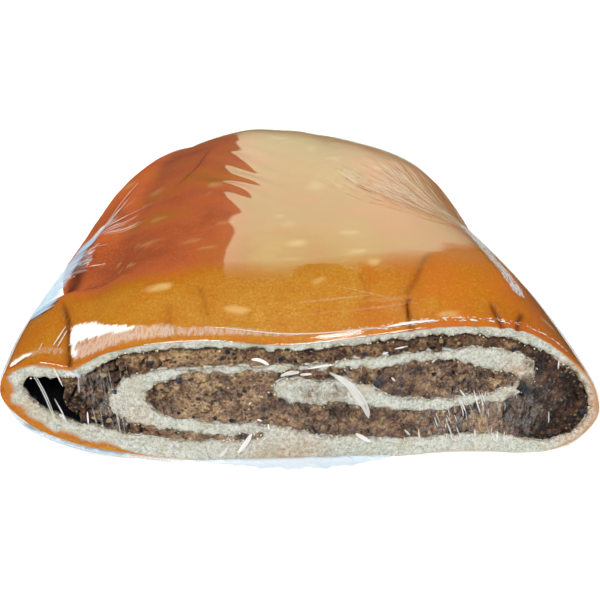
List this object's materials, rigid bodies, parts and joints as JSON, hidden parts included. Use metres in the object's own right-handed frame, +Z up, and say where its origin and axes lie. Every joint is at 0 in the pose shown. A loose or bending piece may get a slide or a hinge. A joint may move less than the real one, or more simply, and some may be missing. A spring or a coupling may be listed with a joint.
{
  "type": "nut strudel",
  "caption": "Flat rolled nut strudel, cut across at one end and closed at the other, with a dark nut filling rolled into pale dough under a glazed crust, in clear stretch film.",
  "frame": {"origin": "centre of the footprint, on the surface that the strudel lies on", "axes": "+Y runs from the cut end to the closed end, +Z up, +X to the right as seen from the cut end"},
  "size_m": [0.1452, 0.2062, 0.0481],
  "materials": {
    "dough": "baked, glazed crust over pale crumb",
    "nut_filling": "coarse, moist",
    "film": "clear stretch film, glossy"
  },
  "bodies": {
    "root": {"dough": "dough", "nut_filling": "nut_filling", "film": "film"}
  },
  "joints": []
}
